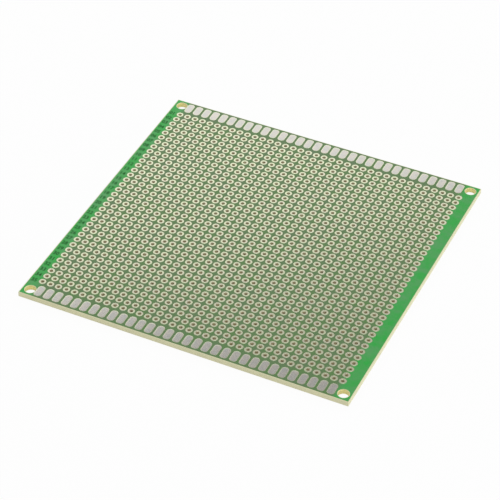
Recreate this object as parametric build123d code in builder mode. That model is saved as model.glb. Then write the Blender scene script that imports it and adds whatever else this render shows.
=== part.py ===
import os

from build123d import *

# Prototype circuit board: a square of glass-epoxy laminate with a grid of lead holes,
# a screw hole in each corner and a row of tinned edge pads along two opposite sides.
# The origin is the middle of the underside. X runs along the rows of edge pads, Z is up.

# Laminate
board_width = 100.0
board_depth = 100.0
board_thickness = 1.6

# Corner screw holes
screw_hole_diameter = 3.2
screw_hole_inset = 2.5

# Grid of lead holes on the 0.1 inch pitch, a little nearer to the numbered side
grid_pitch = 2.54
grid_side_margin = 3.9
grid_pad_clearance = 1.3
grid_shift = 0.3
lead_hole_diameter = 1.0

# The solid is drilled at every second site each way, and each hole has six sides,
# because so many round holes would swamp the mesh. A step of 1 drills every site.
drill_step = 2
lead_hole_sides = 6

# Tinned edge pads
edge_pad_pitch = 2.867
edge_pad_width = 2.2
edge_pad_length = 4.25
edge_pad_margin = 0.75
edge_pad_corner_share = 0.3
foil_thickness = 0.05

screw_spacing_x = board_width - 2 * screw_hole_inset
screw_spacing_y = board_depth - 2 * screw_hole_inset

# The grid fills the board between its sides and the edge pads.
# Each row of pads fills the room between two screw holes.
grid_end_margin = edge_pad_margin + edge_pad_length + grid_pad_clearance
grid_columns = int((board_width - 2 * grid_side_margin) // grid_pitch) + 1
grid_rows = int((board_depth - 2 * grid_end_margin) // grid_pitch) + 1
edge_pad_count = int((screw_spacing_x - screw_hole_diameter - edge_pad_width) // edge_pad_pitch) + 1

first_column_x = -grid_shift - grid_pitch * (grid_columns - 1) / 2
first_row_y = -grid_pitch * (grid_rows - 1) / 2
drill_pitch = drill_step * grid_pitch
drilled_columns = (grid_columns - 1) // drill_step + 1
drilled_rows = (grid_rows - 1) // drill_step + 1
first_corner = (Align.MIN, Align.MIN)

edge_pad_row_y = board_depth / 2 - edge_pad_margin - edge_pad_length / 2
edge_pad_corner = edge_pad_corner_share * edge_pad_width


# Laminate with its corner screw holes and lead holes
with BuildPart() as laminate:
    with BuildSketch() as panel:
        Rectangle(board_width, board_depth)
        with GridLocations(screw_spacing_x, screw_spacing_y, 2, 2):
            Circle(screw_hole_diameter / 2, mode=Mode.SUBTRACT)
        with Locations((first_column_x, first_row_y)):
            with GridLocations(drill_pitch, drill_pitch, drilled_columns, drilled_rows, align=first_corner):
                RegularPolygon(lead_hole_diameter / 2, lead_hole_sides, mode=Mode.SUBTRACT)
    extrude(amount=board_thickness)

# Edge pads of the far row, with cut corners
with BuildPart() as far_edge_pads:
    with BuildSketch(Plane.XY.offset(board_thickness)) as far_row:
        with Locations((-grid_shift, edge_pad_row_y)):
            with GridLocations(edge_pad_pitch, edge_pad_length, edge_pad_count, 1):
                Rectangle(edge_pad_width, edge_pad_length)
        chamfer(far_row.vertices(), edge_pad_corner)
    extrude(amount=foil_thickness)

# Edge pads of the near row, the same on the opposite side
with BuildPart() as near_edge_pads:
    mirror(far_edge_pads.part, about=Plane.XZ)

os.makedirs("parts", exist_ok=True)

laminate.part.label = "laminate"
export_step(laminate.part, "parts/laminate.step")

far_edge_pads.part.label = "far_edge_pads"
export_step(far_edge_pads.part, "parts/far_edge_pads.step")

near_edge_pads.part.label = "near_edge_pads"
export_step(near_edge_pads.part, "parts/near_edge_pads.step")
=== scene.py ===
"""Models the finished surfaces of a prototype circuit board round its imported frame."""

import math

import bmesh
import bpy
from bpy.props import FloatProperty, FloatVectorProperty, IntProperty, PointerProperty
from mathutils import Matrix, Vector


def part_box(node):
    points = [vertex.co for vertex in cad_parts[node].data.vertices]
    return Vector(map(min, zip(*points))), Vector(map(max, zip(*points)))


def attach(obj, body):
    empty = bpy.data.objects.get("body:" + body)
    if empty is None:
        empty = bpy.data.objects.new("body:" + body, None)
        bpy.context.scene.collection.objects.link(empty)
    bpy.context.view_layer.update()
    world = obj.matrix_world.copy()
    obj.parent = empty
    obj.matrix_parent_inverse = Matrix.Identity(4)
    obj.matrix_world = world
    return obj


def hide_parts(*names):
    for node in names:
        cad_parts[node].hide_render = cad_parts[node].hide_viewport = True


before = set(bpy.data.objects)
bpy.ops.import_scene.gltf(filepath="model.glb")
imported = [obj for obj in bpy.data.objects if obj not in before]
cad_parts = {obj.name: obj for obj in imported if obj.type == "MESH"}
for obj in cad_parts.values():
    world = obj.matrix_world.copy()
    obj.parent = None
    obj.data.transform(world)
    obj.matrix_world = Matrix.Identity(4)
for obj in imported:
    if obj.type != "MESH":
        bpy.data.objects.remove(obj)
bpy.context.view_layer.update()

bl_info = {
    "name": "Prototype Circuit Board",
    "version": (1, 0, 0),
    "blender": (4, 5, 0),
    "location": "View3D > Sidebar > Board",
    "description": "Models the finished surfaces of a perforated prototype circuit board",
    "category": "Add Mesh",
}

MM = 0.001

BODY = "root"

# Marks the vertices on the crowns of the edge pads, which are painted greyer so that their rims carry a
# painted highlight
PAD_CROWN = "pad_crown_painted_shade"

# Places of the laminate's materials, by how a face was cut
SAWN, DRILLED, ROUTED = range(3)

# Sides of the drawn circles: few on the many small ones, more on the four large ones
LEAD_SIDES = 12
SCREW_SIDES = 40
CORNER_SEGMENTS = 5

# Places that lie nearer together than this share of the pitch count as one
WELD_SHARE = 0.001

board_low, board_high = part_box("laminate")
far_low, far_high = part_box("far_edge_pads")
near_low, near_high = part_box("near_edge_pads")
board_middle = (board_low + board_high) / 2
grid_middle_x = (far_low.x + far_high.x) / 2
top_level = board_high.z
foil_level = far_high.z


def linear_colour(hex_code):
    """Turns an sRGB hex code into linear red, green, blue and alpha."""
    channels = [int(hex_code[i : i + 2], 16) / 255 for i in (1, 3, 5)]
    return [c / 12.92 if c <= 0.04045 else ((c + 0.055) / 1.055) ** 2.4 for c in channels] + [1.0]


def length(name, description, millimetres):
    """A property for one length of the board, kept in metres."""
    return FloatProperty(name=name, description=description, default=millimetres * MM, unit="LENGTH")


def colour(name, description, hex_code):
    """A property for one colour of the board."""
    return FloatVectorProperty(
        name=name,
        description=description,
        default=linear_colour(hex_code),
        subtype="COLOR",
        size=4,
        min=0,
        max=1,
    )


class BoardSizes(bpy.types.PropertyGroup):
    """Sizes of the grid, the foil and the film on the board."""

    columns: IntProperty(name="Columns", description="Lead holes along a row", default=37, min=2)
    rows: IntProperty(name="Rows", description="Rows of lead holes", default=35, min=2)
    pitch: length("Pitch", "Distance between neighbouring lead holes", 2.54)
    lead_hole: length("Lead Hole", "Diameter of a drilled lead hole", 1.0)
    land: length("Land", "Outer diameter of a round land", 2.2)
    screw_hole: length("Screw Hole", "Diameter of a corner screw hole", 3.2)
    screw_inset: length("Screw Inset", "From the board's edges to the middle of a screw hole", 2.5)
    edge_pads: IntProperty(name="Edge Pads", description="Pads in one edge row", default=32, min=2)
    edge_pad_width: length("Edge Pad Width", "Width of one edge pad", 2.2)
    pad_inner_radius: length("Inner Radius", "Corner radius of a pad at the end that faces the grid", 1.0)
    pad_outer_radius: length("Outer Radius", "Corner radius of a pad at the end that faces the edge", 0.8)
    pad_rim: length("Pad Rim", "Width of the sloping rim of an edge pad", 0.35)
    pad_dome: length("Pad Dome", "Rise of the tin from the rim of a pad to its crown", 0.008)
    mask_film: length("Mask Film", "Thickness of the solder mask", 0.03)
    mask_gap: length("Mask Gap", "Clearance of the mask round the tinned foil", 0.02)
    mask_border: length("Mask Border", "Bare strip between the mask and the edges of the board", 0.24)
    mask_collar: length("Mask Collar", "Bare collar of laminate round a screw hole", 0.15)
    sawn_edge: length("Sawn Edge", "Width of the small chamfer along the sawn edges", 0.08)
    figure_height: length("Figure Height", "Height of the row numbers", 1.35)
    figure_stroke: length("Figure Stroke", "Extra stroke width of the row numbers", 0.1)
    figure_margin: length("Figure Margin", "From the first column to the middle of the row numbers", 2.5)
    figure_drop: length("Figure Drop", "How far the row numbers lie below the middle of their rows", 0.25)
    figure_relief: length("Figure Relief", "How far the row numbers stand out of the mask", 0.008)


class BoardColours(bpy.types.PropertyGroup):
    """Colours of the board's surfaces."""

    mask: colour("Mask", "Solder mask on the plain borders", "#2E9D40")
    mask_between: colour("Mask Between Foil", "Solder mask among the tinned lands and pads", "#527640")
    tin: colour("Tin", "Levelled tin on the lands and on the rims of the pads", "#A0A58A")
    tin_warm: colour("Warm Tin", "Warmer patches of the levelled tin", "#A0978E")
    # Greyer than the tin, so that the pad rims carry a painted highlight
    pad_crown_painted_shade: colour("Pad Crown", "Levelled tin on the broad middle of the edge pads", "#8F8F8B")
    sawn: colour("Sawn Laminate", "Faces and sawn edges of the glass-epoxy laminate", "#DDDAB3")
    # Routed: laminate painted paler than the sawn faces, a painted glow for light through the translucent
    # wall of a screw hole
    routed_painted_glow: colour("Routed Laminate", "Clean pale wall of a screw hole", "#EEE6A8")
    # Drilled: darker than the sawn laminate as painted shade inside the narrow lead holes
    drilled: colour("Drilled Laminate", "Scorched wall of a lead hole", "#CABE9C")
    figures: colour("Figures", "Row numbers printed on the mask", "#00540F")


# Sockets of the Mix node when it blends colours
MIX_FACTOR, MIX_FIRST, MIX_SECOND, MIX_COLOUR = 0, 6, 7, 2

# Phase in radians that a wave of scale 1 runs through in a metre
WAVE_PHASE = 20

# Widths of the patterns in millimetres. Real plies are about half as thick and the marks of a drill
# much finer, and both are drawn coarser so that they show.
MASK_CLOUD = 3.0
ORANGE_PEEL = 0.9
TIN_PATCH = 1.6
TIN_GRAIN = 0.35
RESIN_CLOUD = 3.0
THREAD_SPACING = 0.5
PLY_SPACING = 0.4
DRILL_TURN = 0.3
INK_CLOUD = 0.8

# Depths of the bumps
PEEL_DEPTH = 0.02 * MM
DIMPLE_DEPTH = 0.02 * MM
WEAVE_DEPTH = 0.03 * MM
SCORE_DEPTH = 0.02 * MM

EPOXY_IOR = 1.5


def add_node(tree, kind, inputs, output=0, **settings):
    """Adds a node with its settings, fills its inputs with values or links, and gives one output."""
    node = tree.nodes.new(kind)
    for setting, value in settings.items():
        setattr(node, setting, value)
    for socket, value in inputs.items():
        if isinstance(value, bpy.types.NodeSocket):
            tree.links.new(value, node.inputs[socket])
        else:
            node.inputs[socket].default_value = value
    return node.outputs[output]


def new_surface(name):
    """A material, its tree, its shader's inputs and the object coordinates that its patterns use."""
    material = bpy.data.materials.new(name)
    material.use_nodes = True
    tree = material.node_tree
    place = add_node(tree, "ShaderNodeTexCoord", {}, "Object")
    return material, tree, tree.nodes["Principled BSDF"].inputs, place


def per_metre(millimetres):
    """The scale of a noise whose features are about that many millimetres wide."""
    return 1 / (millimetres * MM)


def waves_per_metre(millimetres):
    """The scale of a wave whose bands are that many millimetres apart."""
    return math.tau / (WAVE_PHASE * millimetres * MM)


def solder_mask_material(sizes, colours):
    """Green epoxy lacquer, screened on and cured."""
    # A smooth glossy film with soft orange-peel ripples and faint clouds of colour. It is darker among
    # the bright foil, and that tone fades out over one pitch at the first and the last column.
    material, tree, shader, place = new_surface("green_epoxy_solder_mask")
    across = add_node(tree, "ShaderNodeSeparateXYZ", {"Vector": place}, "X")
    aside = add_node(tree, "ShaderNodeMath", {0: across, 1: grid_middle_x}, operation="SUBTRACT")
    away = add_node(tree, "ShaderNodeMath", {0: aside}, operation="ABSOLUTE")
    reach = sizes.pitch * sizes.columns / 2
    fade = {"Value": away, "From Min": reach, "From Max": reach - sizes.pitch}
    between = add_node(tree, "ShaderNodeMapRange", fade, interpolation_type="SMOOTHSTEP")
    tones = {MIX_FACTOR: between, MIX_FIRST: colours.mask, MIX_SECOND: colours.mask_between}
    film = add_node(tree, "ShaderNodeMix", tones, MIX_COLOUR, data_type="RGBA")
    clouds = {"Vector": place, "Scale": per_metre(MASK_CLOUD), "Detail": 4.0}
    cloud = add_node(tree, "ShaderNodeTexNoise", clouds)
    shade = add_node(tree, "ShaderNodeMapRange", {"Value": cloud, "To Min": 0.82, "To Max": 1.14})
    vivid = {"Value": cloud, "From Min": 0.3, "From Max": 0.7, "To Min": 0.88, "To Max": 1.12}
    depth = add_node(tree, "ShaderNodeMapRange", vivid)
    tone = add_node(tree, "ShaderNodeHueSaturation", {"Color": film, "Value": shade, "Saturation": depth})
    tree.links.new(tone, shader["Base Color"])
    ripples = {"Vector": place, "Scale": per_metre(ORANGE_PEEL), "Detail": 2.0}
    ripple = add_node(tree, "ShaderNodeTexNoise", ripples)
    gloss = add_node(tree, "ShaderNodeMapRange", {"Value": ripple, "To Min": 0.34, "To Max": 0.52})
    tree.links.new(gloss, shader["Roughness"])
    peel = add_node(tree, "ShaderNodeBump", {"Height": ripple, "Distance": PEEL_DEPTH, "Strength": 0.25})
    tree.links.new(peel, shader["Normal"])
    shader["Specular IOR Level"].default_value = 0.32
    return material


def levelled_tin_material(name, colours):
    """Tin on copper, dipped and levelled by hot air."""
    # A soft bright metal with patches of warmer tone and a fine uneven grain. The broad crowns of the edge
    # pads are painted greyer than their rims, so that the rims carry a painted highlight.
    material, tree, shader, place = new_surface(name)
    broad = add_node(tree, "ShaderNodeAttribute", {}, "Fac", attribute_name=PAD_CROWN)
    painted_highlight_tones = {MIX_FACTOR: broad, MIX_FIRST: colours.tin, MIX_SECOND: colours.pad_crown_painted_shade}
    coat = add_node(tree, "ShaderNodeMix", painted_highlight_tones, MIX_COLOUR, data_type="RGBA")
    clouds = {"Vector": place, "Scale": per_metre(TIN_PATCH), "Detail": 2.0}
    cloud = add_node(tree, "ShaderNodeTexNoise", clouds)
    spread = {"Value": cloud, "From Min": 0.35, "From Max": 0.75, "To Max": 0.6}
    patch = add_node(tree, "ShaderNodeMapRange", spread)
    warmth = {MIX_FACTOR: patch, MIX_FIRST: coat, MIX_SECOND: colours.tin_warm}
    tint = add_node(tree, "ShaderNodeMix", warmth, MIX_COLOUR, data_type="RGBA")
    grains = {"Vector": place, "Scale": per_metre(TIN_GRAIN), "Detail": 3.0}
    grain = add_node(tree, "ShaderNodeTexNoise", grains)
    shade = add_node(tree, "ShaderNodeMapRange", {"Value": grain, "To Min": 0.88, "To Max": 1.1})
    tone = add_node(tree, "ShaderNodeHueSaturation", {"Color": tint, "Value": shade})
    tree.links.new(tone, shader["Base Color"])
    gloss = add_node(tree, "ShaderNodeMapRange", {"Value": grain, "To Min": 0.16, "To Max": 0.27})
    tree.links.new(gloss, shader["Roughness"])
    dimples = add_node(tree, "ShaderNodeBump", {"Height": grain, "Distance": DIMPLE_DEPTH, "Strength": 0.3})
    tree.links.new(dimples, shader["Normal"])
    shader["Metallic"].default_value = 1.0
    return material


def laminate_material(name, resin):
    """Glass-epoxy laminate, pressed from cloth and cut to size."""
    # Dull cream resin. The square weave of the cloth shows on the faces, and its plies on the cut edges.
    material, tree, shader, place = new_surface(name)
    bands = {"Vector": place, "Scale": waves_per_metre(THREAD_SPACING), "Distortion": 0.6}
    warp = add_node(tree, "ShaderNodeTexWave", bands, "Fac", bands_direction="X")
    weft = add_node(tree, "ShaderNodeTexWave", bands, "Fac", bands_direction="Y")
    cloth = add_node(tree, "ShaderNodeMath", {0: warp, 1: weft}, operation="MULTIPLY")
    layers = {"Vector": place, "Scale": waves_per_metre(PLY_SPACING), "Distortion": 3.0, "Detail": 3.0}
    plies = add_node(tree, "ShaderNodeTexWave", layers, "Fac", bands_direction="Z")
    fibres = add_node(tree, "ShaderNodeMath", {0: cloth, 1: plies}, operation="ADD")
    clouds = {"Vector": place, "Scale": per_metre(RESIN_CLOUD), "Detail": 4.0}
    cloud = add_node(tree, "ShaderNodeTexNoise", clouds)
    weave = add_node(tree, "ShaderNodeMath", {0: fibres, 1: 0.3, 2: cloud}, operation="MULTIPLY_ADD")
    shade = add_node(tree, "ShaderNodeMapRange", {"Value": weave, "To Min": 0.86, "To Max": 1.06})
    tone = add_node(tree, "ShaderNodeHueSaturation", {"Color": resin, "Value": shade})
    tree.links.new(tone, shader["Base Color"])
    relief = add_node(tree, "ShaderNodeBump", {"Height": weave, "Distance": WEAVE_DEPTH, "Strength": 0.3})
    tree.links.new(relief, shader["Normal"])
    shader["Roughness"].default_value = 0.55
    shader["IOR"].default_value = EPOXY_IOR
    return material


def drilled_wall_painted_shade_material(colours):
    """Glass-epoxy laminate cut by the drill, darkened as painted shade inside the narrow lead hole."""
    # Brown and dull as painted shade, with darker rings where the drill turned
    material, tree, shader, place = new_surface("drilled_glass_epoxy_painted_shade")
    rings = {"Vector": place, "Scale": waves_per_metre(DRILL_TURN), "Distortion": 4.0, "Detail": 3.0}
    turns = add_node(tree, "ShaderNodeTexWave", rings, "Fac", bands_direction="Z")
    shade = add_node(tree, "ShaderNodeMapRange", {"Value": turns, "To Min": 0.8, "To Max": 1.15})
    tone = add_node(tree, "ShaderNodeHueSaturation", {"Color": colours.drilled, "Value": shade})
    tree.links.new(tone, shader["Base Color"])
    score = add_node(tree, "ShaderNodeBump", {"Height": turns, "Distance": SCORE_DEPTH, "Strength": 0.5})
    tree.links.new(score, shader["Normal"])
    shader["Roughness"].default_value = 0.75
    shader["IOR"].default_value = EPOXY_IOR
    return material


def figure_material(colours):
    """Dark green ink, screen printed on the mask."""
    # Duller than the glossy mask under it, and a little uneven in tone
    material, tree, shader, place = new_surface("screen_printed_dark_ink")
    clouds = {"Vector": place, "Scale": per_metre(INK_CLOUD), "Detail": 3.0}
    cloud = add_node(tree, "ShaderNodeTexNoise", clouds)
    shade = add_node(tree, "ShaderNodeMapRange", {"Value": cloud, "To Min": 0.75, "To Max": 1.25})
    tone = add_node(tree, "ShaderNodeHueSaturation", {"Color": colours.figures, "Value": shade})
    tree.links.new(tone, shader["Base Color"])
    gloss = add_node(tree, "ShaderNodeMapRange", {"Value": cloud, "To Min": 0.45, "To Max": 0.65})
    tree.links.new(gloss, shader["Roughness"])
    shader["Specular IOR Level"].default_value = 0.15
    return material


def place_piece(name, bm, materials, replaced=None):
    """Makes a finished mesh an object that rides on the board."""
    mesh = bpy.data.meshes.new(name)
    bm.to_mesh(mesh)
    bm.free()
    for material in materials:
        mesh.materials.append(material)
    piece = bpy.data.objects.new(name, mesh)
    bpy.context.scene.collection.objects.link(piece)
    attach(piece, BODY)
    if replaced:
        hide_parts(replaced)


def repeat(bm, step, count):
    """Copies everything in the mesh along a straight line."""
    everything = bm.verts[:] + bm.edges[:] + bm.faces[:]
    bmesh.ops.spin(
        bm,
        geom=everything,
        cent=(0, 0, 0),
        axis=(0, 0, 1),
        dvec=step,
        angle=0,
        steps=count - 1,
        use_duplicate=True,
    )


def circle_edges(bm, radius, sides, middle):
    """A level circle of edges, with a corner half a step from each axis."""
    turned = Matrix.Translation(middle) @ Matrix.Rotation(math.pi / sides, 4, "Z")
    made = bmesh.ops.create_circle(bm, cap_ends=False, segments=sides, radius=radius, matrix=turned)
    return list({edge for vert in made["verts"] for edge in vert.link_edges})


def first_site(sizes, level):
    """The middle of the far left lead hole."""
    reach_x = sizes.pitch * (sizes.columns - 1) / 2
    reach_y = sizes.pitch * (sizes.rows - 1) / 2
    return Vector((grid_middle_x - reach_x, board_middle.y + reach_y, level))


def repeat_over_grid(bm, sizes):
    """Copies what stands at the first site to every site of the grid."""
    repeat(bm, (sizes.pitch, 0, 0), sizes.columns)
    repeat(bm, (0, -sizes.pitch, 0), sizes.rows)


def add_grid_field(bm, sizes, opening, level):
    """Fills the grid with square cells round openings, and gives the edges round the whole field."""
    middle = first_site(sizes, level)
    # A circle of four sides, turned by half a step, is a square
    square = Matrix.Translation(middle) @ Matrix.Rotation(math.pi / 4, 4, "Z")
    corner_reach = sizes.pitch / math.sqrt(2)
    bmesh.ops.create_circle(bm, cap_ends=False, segments=4, radius=corner_reach, matrix=square)
    bmesh.ops.subdivide_edges(bm, edges=bm.edges[:], cuts=LEAD_SIDES // 4 - 1)
    circle_edges(bm, opening / 2, LEAD_SIDES, middle)
    bmesh.ops.bridge_loops(bm, edges=bm.edges[:])
    repeat_over_grid(bm, sizes)
    close = WELD_SHARE * sizes.pitch
    bmesh.ops.remove_doubles(bm, verts=bm.verts[:], dist=close)
    left, right = min(v.co.x for v in bm.verts), max(v.co.x for v in bm.verts)
    near, far = min(v.co.y for v in bm.verts), max(v.co.y for v in bm.verts)

    def on_border(vert):
        from_sides = min(vert.co.x - left, right - vert.co.x)
        from_ends = min(vert.co.y - near, far - vert.co.y)
        return min(from_sides, from_ends) < close

    return [edge for edge in bm.edges if edge.is_boundary and all(on_border(vert) for vert in edge.verts)]


def add_screw_circles(bm, sizes, collar, level):
    """The edges of the four corner screw holes, widened by a collar."""
    reach_x = board_high.x - sizes.screw_inset
    reach_y = board_high.y - sizes.screw_inset
    edges = []
    for place in ((-reach_x, -reach_y), (reach_x, -reach_y), (-reach_x, reach_y), (reach_x, reach_y)):
        edges += circle_edges(bm, sizes.screw_hole / 2 + collar, SCREW_SIDES, Vector((*place, level)))
    return edges


def add_outline(bm, border, level):
    """The edges of the board's outline, drawn in by a border."""
    width = board_high.x - board_low.x - 2 * border
    depth = board_high.y - board_low.y - 2 * border
    middle = Vector((board_middle.x, board_middle.y, level))
    shape = Matrix.Translation(middle) @ Matrix.Diagonal((width, depth, 1, 1))
    # A square with sides of 1, which the shape stretches
    square = shape @ Matrix.Rotation(math.pi / 4, 4, "Z")
    made = bmesh.ops.create_circle(bm, cap_ends=False, segments=4, radius=math.sqrt(0.5), matrix=square)
    return list({edge for vert in made["verts"] for edge in vert.link_edges})


def pad_outline(bm, sizes, low, high, level, grow):
    """The face of the first edge pad of a row, with rounder corners at the end that faces the grid."""
    width = sizes.edge_pad_width + 2 * grow
    depth = high.y - low.y + 2 * grow
    middle = Vector((low.x + sizes.edge_pad_width / 2, (low.y + high.y) / 2, level))
    shape = Matrix.Translation(middle) @ Matrix.Diagonal((width, depth, 1, 1))
    made = bmesh.ops.create_grid(bm, x_segments=1, y_segments=1, size=0.5, matrix=shape)
    corners = sorted(made["verts"], key=lambda vert: abs(vert.co.y))
    for ends, radius in ((corners[:2], sizes.pad_inner_radius), (corners[2:], sizes.pad_outer_radius)):
        bmesh.ops.bevel(
            bm,
            geom=ends,
            offset=radius + grow,
            offset_type="OFFSET",
            affect="VERTICES",
            segments=CORNER_SEGMENTS,
            profile=0.5,
            material=-1,
        )


def repeat_along_row(bm, sizes, low, high):
    """Copies the first edge pad along its row."""
    step = (high.x - low.x - sizes.edge_pad_width) / (sizes.edge_pads - 1)
    repeat(bm, (step, 0, 0), sizes.edge_pads)


def thicken(bm, depth):
    """Gives a level sheet its thickness, downwards."""
    bmesh.ops.recalc_face_normals(bm, faces=bm.faces[:])
    lower = bmesh.ops.extrude_face_region(bm, geom=bm.faces[:], use_keep_orig=True)["geom"]
    moved = [item for item in lower if isinstance(item, bmesh.types.BMVert)]
    bmesh.ops.translate(bm, verts=moved, vec=(0, 0, -depth))
    bmesh.ops.recalc_face_normals(bm, faces=bm.faces[:])


class BOARD_OT_add_laminate(bpy.types.Operator):
    """Model the drilled laminate with all its lead holes and screw holes"""

    bl_idname = "board.add_laminate"
    bl_label = "Add Laminate"

    def execute(self, context):
        sizes, colours = context.scene.board_sizes, context.scene.board_colours
        bm = bmesh.new()
        border = add_grid_field(bm, sizes, sizes.lead_hole, top_level)
        border += add_screw_circles(bm, sizes, 0, top_level)
        border += add_outline(bm, 0, top_level)
        bmesh.ops.triangle_fill(bm, edges=border, use_beauty=True)
        thicken(bm, top_level - board_low.z)
        for face in bm.faces:
            face.material_index = self.cut_of_face(face, sizes)
        self.chamfer_sawn_edges(bm, sizes)
        materials = {
            SAWN: laminate_material("sawn_glass_epoxy", colours.sawn),
            DRILLED: drilled_wall_painted_shade_material(colours),
            # The screw-hole walls take the paler copy of the laminate, a painted glow
            ROUTED: laminate_material("screw_hole_glass_epoxy_painted_glow", colours.routed_painted_glow),
        }
        place_piece("laminate_sheet", bm, materials.values(), "laminate")
        return {"FINISHED"}

    def cut_of_face(self, face, sizes):
        """Which material a face takes: that of the sheet, of a lead hole or of a screw hole."""
        middle = face.calc_center_median()
        from_x = board_high.x - abs(middle.x)
        from_y = board_high.y - abs(middle.y)
        is_level = abs(face.normal.z) > 0.5
        if is_level or min(from_x, from_y) < sizes.sawn_edge:
            return SAWN
        return ROUTED if max(from_x, from_y) < 2 * sizes.screw_inset else DRILLED

    def chamfer_sawn_edges(self, bm, sizes):
        """Takes the sharpness off the outline."""
        close = WELD_SHARE * sizes.pitch

        def on_outline(vert):
            from_x = min(vert.co.x - board_low.x, board_high.x - vert.co.x)
            from_y = min(vert.co.y - board_low.y, board_high.y - vert.co.y)
            return min(from_x, from_y) < close

        edges = [edge for edge in bm.edges if all(on_outline(vert) for vert in edge.verts)]
        half_right_angle = math.radians(45)
        sharp = [edge for edge in edges if edge.calc_face_angle() > half_right_angle]
        bmesh.ops.bevel(
            bm,
            geom=sharp,
            offset=sizes.sawn_edge,
            offset_type="OFFSET",
            affect="EDGES",
            segments=1,
            profile=0.5,
            material=-1,
        )


class BOARD_OT_add_solder_mask(bpy.types.Operator):
    """Model the film of green solder mask with its openings"""

    bl_idname = "board.add_solder_mask"
    bl_label = "Add Solder Mask"

    def execute(self, context):
        sizes, colours = context.scene.board_sizes, context.scene.board_colours
        level = top_level + sizes.mask_film
        bm = bmesh.new()
        border = add_grid_field(bm, sizes, sizes.land + 2 * sizes.mask_gap, level)
        border += add_screw_circles(bm, sizes, sizes.mask_collar, level)
        border += add_outline(bm, sizes.mask_border, level)
        border += self.add_pad_openings(bm, sizes, level)
        bmesh.ops.triangle_fill(bm, edges=border, use_beauty=True)
        thicken(bm, sizes.mask_film)
        place_piece("solder_mask", bm, [solder_mask_material(sizes, colours)])
        return {"FINISHED"}

    def add_pad_openings(self, bm, sizes, level):
        """The edges of the openings over both rows of edge pads."""
        before = set(bm.edges)
        for low, high in ((far_low, far_high), (near_low, near_high)):
            row = bmesh.new()
            pad_outline(row, sizes, low, high, level, sizes.mask_gap)
            bmesh.ops.delete(row, geom=row.faces[:], context="FACES_ONLY")
            repeat_along_row(row, sizes, low, high)
            openings = bpy.data.meshes.new("pad_openings")
            row.to_mesh(openings)
            row.free()
            bm.from_mesh(openings)
            bpy.data.meshes.remove(openings)
        return [edge for edge in bm.edges if edge not in before]


class BOARD_OT_add_round_lands(bpy.types.Operator):
    """Model the tinned rings round the lead holes"""

    bl_idname = "board.add_round_lands"
    bl_label = "Add Round Lands"

    # Width of the sloping shoulders, as a share of the ring's width
    shoulder_share = 0.12

    def execute(self, context):
        sizes, colours = context.scene.board_sizes, context.scene.board_colours
        inner, outer = sizes.lead_hole / 2, sizes.land / 2
        shoulder = self.shoulder_share * (outer - inner)
        bm = bmesh.new()
        section = [
            bm.verts.new((inner, 0, top_level)),
            bm.verts.new((inner + shoulder, 0, foil_level)),
            bm.verts.new((outer - shoulder, 0, foil_level)),
            bm.verts.new((outer, 0, top_level)),
        ]
        for start, end in zip(section, section[1:] + section[:1]):
            bm.edges.new((start, end))
        turned = Matrix.Rotation(math.pi / LEAD_SIDES, 3, "Z")
        bmesh.ops.rotate(bm, verts=bm.verts[:], cent=(0, 0, 0), matrix=turned)
        bmesh.ops.spin(
            bm,
            geom=bm.verts[:] + bm.edges[:],
            cent=(0, 0, 0),
            axis=(0, 0, 1),
            angle=math.tau,
            steps=LEAD_SIDES,
            use_merge=True,
        )
        bmesh.ops.recalc_face_normals(bm, faces=bm.faces[:])
        bmesh.ops.translate(bm, verts=bm.verts[:], vec=first_site(sizes, 0))
        repeat_over_grid(bm, sizes)
        tin = levelled_tin_material("hot_air_levelled_tin_lands", colours)
        place_piece("round_lands", bm, [tin])
        return {"FINISHED"}


class BOARD_OT_add_edge_pads(bpy.types.Operator):
    """Model both rows of tinned edge pads"""

    bl_idname = "board.add_edge_pads"
    bl_label = "Add Edge Pads"

    def execute(self, context):
        sizes, colours = context.scene.board_sizes, context.scene.board_colours
        tin = levelled_tin_material("hot_air_levelled_tin_pads", colours)
        rows = (("far_edge_pads", far_low, far_high), ("near_edge_pads", near_low, near_high))
        for node, low, high in rows:
            bm = bmesh.new()
            pad_outline(bm, sizes, low, high, low.z, 0)
            self.raise_cushion(bm, sizes, high.z - low.z)
            repeat_along_row(bm, sizes, low, high)
            place_piece(f"tinned_{node}", bm, [tin], node)
        return {"FINISHED"}

    def raise_cushion(self, bm, sizes, height):
        """Raises the flat outline of a pad to a low cushion of tin with a sloping rim."""
        broad = bm.verts.layers.float.new(PAD_CROWN)
        top = bmesh.ops.extrude_face_region(bm, geom=bm.faces[:], use_keep_orig=True)["geom"]
        verts = [item for item in top if isinstance(item, bmesh.types.BMVert)]
        bmesh.ops.translate(bm, verts=verts, vec=(0, 0, height - sizes.pad_dome))
        crown = [item for item in top if isinstance(item, bmesh.types.BMFace)]
        bmesh.ops.inset_individual(bm, faces=crown, thickness=sizes.pad_rim, depth=sizes.pad_dome)
        for vert in crown[0].verts:
            vert[broad] = 1.0
        bmesh.ops.recalc_face_normals(bm, faces=bm.faces[:])


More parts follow.
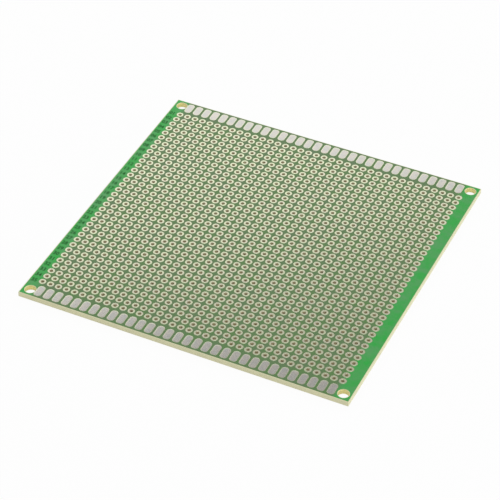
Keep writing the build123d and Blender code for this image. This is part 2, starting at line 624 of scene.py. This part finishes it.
class BOARD_OT_add_row_numbers(bpy.types.Operator):
    """Model the small row numbers beside the first column"""

    bl_idname = "board.add_row_numbers"
    bl_label = "Add Row Numbers"

    # Height of a digit as a share of the font's size, and how far the digits are narrowed
    digit_height_share = 0.7
    width_share = 0.95

    def execute(self, context):
        sizes, colours = context.scene.board_sizes, context.scene.board_colours
        size = sizes.figure_height / self.digit_height_share
        text = bpy.data.curves.new("row_numbers", "FONT")
        text.body = "\n".join(f"{row + 1:02d}" for row in range(sizes.rows))
        text.size = size
        text.space_line = sizes.pitch / size
        text.align_x = "CENTER"
        text.align_y = "TOP_BASELINE"
        text.offset = sizes.figure_stroke / 2
        text.extrude = sizes.figure_relief
        text.resolution_u = 2
        holder = bpy.data.objects.new("row_numbers_text", text)
        figures = bpy.data.meshes.new_from_object(holder)
        bpy.data.objects.remove(holder)
        bpy.data.curves.remove(text)
        foot = first_site(sizes, top_level + sizes.mask_film)
        foot -= Vector((sizes.figure_margin, sizes.figure_height / 2 + sizes.figure_drop, 0))
        figures.transform(Matrix.Translation(foot) @ Matrix.Diagonal((self.width_share, 1, 1, 1)))
        bm = bmesh.new()
        bm.from_mesh(figures)
        bpy.data.meshes.remove(figures)
        close = sizes.figure_relief / 4
        bmesh.ops.remove_doubles(bm, verts=bm.verts[:], dist=close)
        bmesh.ops.dissolve_degenerate(bm, edges=bm.edges[:], dist=close)
        bmesh.ops.recalc_face_normals(bm, faces=bm.faces[:])
        place_piece("row_numbers", bm, [figure_material(colours)])
        return {"FINISHED"}


# The camera was fitted to the grid of lead holes in the photograph. Its lens is in millimetres.
CAMERA_TARGET = Vector((0.36, -5.31, 1.6)) * MM
CAMERA_DISTANCE = 627.5 * MM
CAMERA_AZIMUTH = math.radians(24.28)
CAMERA_ELEVATION = math.radians(40.48)
CAMERA_ROLL = math.radians(1.21)
CAMERA_LENS = 158.4

# The floor lies a hair below the board, and most of what is seen of it is its own white glow
FLOOR_SIZE = 3.0
FLOOR_DROP = 0.02 * MM
FLOOR_GLOW = 0.93
FLOOR_COLOUR = "#F4F4F4"
WHITE = "#FFFFFF"

# Strength of the surround as a light
AMBIENT = 0.7

# Place, width and height in metres, and power in watts of each lamp. The tin mirrors the back lamp,
# and the side lamp lifts the sawn edge on the right.
BACK_LAMP = (Vector((-0.42, 0.49, 0.39)), 0.85, 0.32, 1.36)
FRONT_LAMP = (Vector((0.35, -0.25, 0.6)), 0.4, 0.4, 0.6)
SIDE_LAMP = (Vector((0.9, 0.05, 0.12)), 0.5, 0.15, 2.1)


class BOARD_OT_set_stage(bpy.types.Operator):
    """Set the pale floor, the soft light and the camera"""

    bl_idname = "board.set_stage"
    bl_label = "Set Stage"

    def execute(self, context):
        self.add_floor(context.scene)
        self.add_world(context.scene)
        self.add_softbox(context.scene, "back_softbox", *BACK_LAMP)
        self.add_softbox(context.scene, "front_softbox", *FRONT_LAMP)
        self.add_softbox(context.scene, "side_softbox", *SIDE_LAMP)
        self.add_camera(context.scene)
        context.scene.view_settings.view_transform = "Standard"
        return {"FINISHED"}

    def seen_directly(self, tree):
        """The socket that is 1 for what the camera sees, also in a reflection or through glass."""
        seen = add_node(tree, "ShaderNodeLightPath", {}, "Is Camera Ray")
        path = seen.node.outputs
        beyond = {0: path["Is Glossy Ray"], 1: path["Is Transmission Ray"]}
        mirrored = add_node(tree, "ShaderNodeMath", beyond, operation="MAXIMUM")
        return add_node(tree, "ShaderNodeMath", {0: seen, 1: mirrored}, operation="MAXIMUM")

    def add_floor(self, scene):
        """A white floor that keeps a faint shadow."""
        material = bpy.data.materials.new("white_floor")
        material.use_nodes = True
        tree = material.node_tree
        tree.nodes.clear()
        matt = add_node(tree, "ShaderNodeBsdfDiffuse", {"Color": linear_colour(FLOOR_COLOUR)})
        glow = add_node(tree, "ShaderNodeEmission", {"Color": linear_colour(WHITE)})
        seen = self.seen_directly(tree)
        share = add_node(tree, "ShaderNodeMath", {0: seen, 1: FLOOR_GLOW}, operation="MULTIPLY")
        surface = add_node(tree, "ShaderNodeMixShader", {0: share, 1: matt, 2: glow})
        output = tree.nodes.new("ShaderNodeOutputMaterial")
        tree.links.new(surface, output.inputs["Surface"])
        bm = bmesh.new()
        level = Matrix.Translation((0, 0, -FLOOR_DROP))
        bmesh.ops.create_grid(bm, x_segments=1, y_segments=1, size=FLOOR_SIZE / 2, matrix=level)
        mesh = bpy.data.meshes.new("floor")
        bm.to_mesh(mesh)
        bm.free()
        mesh.materials.append(material)
        floor = bpy.data.objects.new("floor", mesh)
        scene.collection.objects.link(floor)

    def add_world(self, scene):
        """A plain white surround, full strength where it is seen and softer as a light."""
        world = bpy.data.worlds.new("white_surround")
        world.use_nodes = True
        tree = world.node_tree
        surround = tree.nodes["Background"].inputs
        surround["Color"].default_value = linear_colour(WHITE)
        seen = self.seen_directly(tree)
        strength = add_node(tree, "ShaderNodeMapRange", {"Value": seen, "To Min": AMBIENT, "To Max": 1.0})
        tree.links.new(strength, surround["Strength"])
        scene.world = world

    def add_softbox(self, scene, name, place, width, height, power):
        """A broad lamp that faces the board."""
        lamp = bpy.data.lights.new(name, "AREA")
        lamp.shape = "RECTANGLE"
        lamp.size = width
        lamp.size_y = height
        lamp.energy = power
        softbox = bpy.data.objects.new(name, lamp)
        softbox.location = place
        softbox.rotation_euler = (-place).to_track_quat("-Z", "Y").to_euler()
        scene.collection.objects.link(softbox)

    def add_camera(self, scene):
        """The camera at the photograph's viewing angle."""
        camera = bpy.data.objects.new("camera", bpy.data.cameras.new("camera"))
        level = math.cos(CAMERA_ELEVATION)
        away = Vector((
            math.sin(CAMERA_AZIMUTH) * level,
            -math.cos(CAMERA_AZIMUTH) * level,
            math.sin(CAMERA_ELEVATION),
        ))
        turn = (-away).to_track_quat("-Z", "Y").to_matrix().to_4x4() @ Matrix.Rotation(CAMERA_ROLL, 4, "Z")
        camera.matrix_world = Matrix.Translation(CAMERA_TARGET + away * CAMERA_DISTANCE) @ turn
        camera.data.lens = CAMERA_LENS
        camera.data.clip_start = CAMERA_DISTANCE / 100
        scene.collection.objects.link(camera)
        scene.camera = camera


class BOARD_PT_board(bpy.types.Panel):
    """Lists the board's sizes, colours and pieces"""

    bl_idname = "BOARD_PT_board"
    bl_label = "Prototype Board"
    bl_space_type = "VIEW_3D"
    bl_region_type = "UI"
    bl_category = "Board"

    def draw(self, context):
        """Shows every size and colour, and a button for each piece."""
        for group in (context.scene.board_sizes, context.scene.board_colours):
            box = self.layout.box()
            for name in group.__annotations__:
                box.prop(group, name)
        for operator in OPERATORS:
            self.layout.operator(operator.bl_idname)


GROUPS = (BoardSizes, BoardColours)
OPERATORS = (
    BOARD_OT_add_laminate,
    BOARD_OT_add_solder_mask,
    BOARD_OT_add_round_lands,
    BOARD_OT_add_edge_pads,
    BOARD_OT_add_row_numbers,
    BOARD_OT_set_stage,
)


def register():
    """Adds the board's classes and properties to Blender."""
    for part in (*GROUPS, *OPERATORS, BOARD_PT_board):
        bpy.utils.register_class(part)
    bpy.types.Scene.board_sizes = PointerProperty(type=BoardSizes)
    bpy.types.Scene.board_colours = PointerProperty(type=BoardColours)


def unregister():
    """Takes the board's properties and classes out of Blender."""
    del bpy.types.Scene.board_colours
    del bpy.types.Scene.board_sizes
    for part in reversed((*GROUPS, *OPERATORS, BOARD_PT_board)):
        bpy.utils.unregister_class(part)


def main():
    """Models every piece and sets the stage."""
    register()
    bpy.ops.board.add_laminate()
    bpy.ops.board.add_solder_mask()
    bpy.ops.board.add_round_lands()
    bpy.ops.board.add_edge_pads()
    bpy.ops.board.add_row_numbers()
    bpy.ops.board.set_stage()


if __name__ == "__main__":
    main()
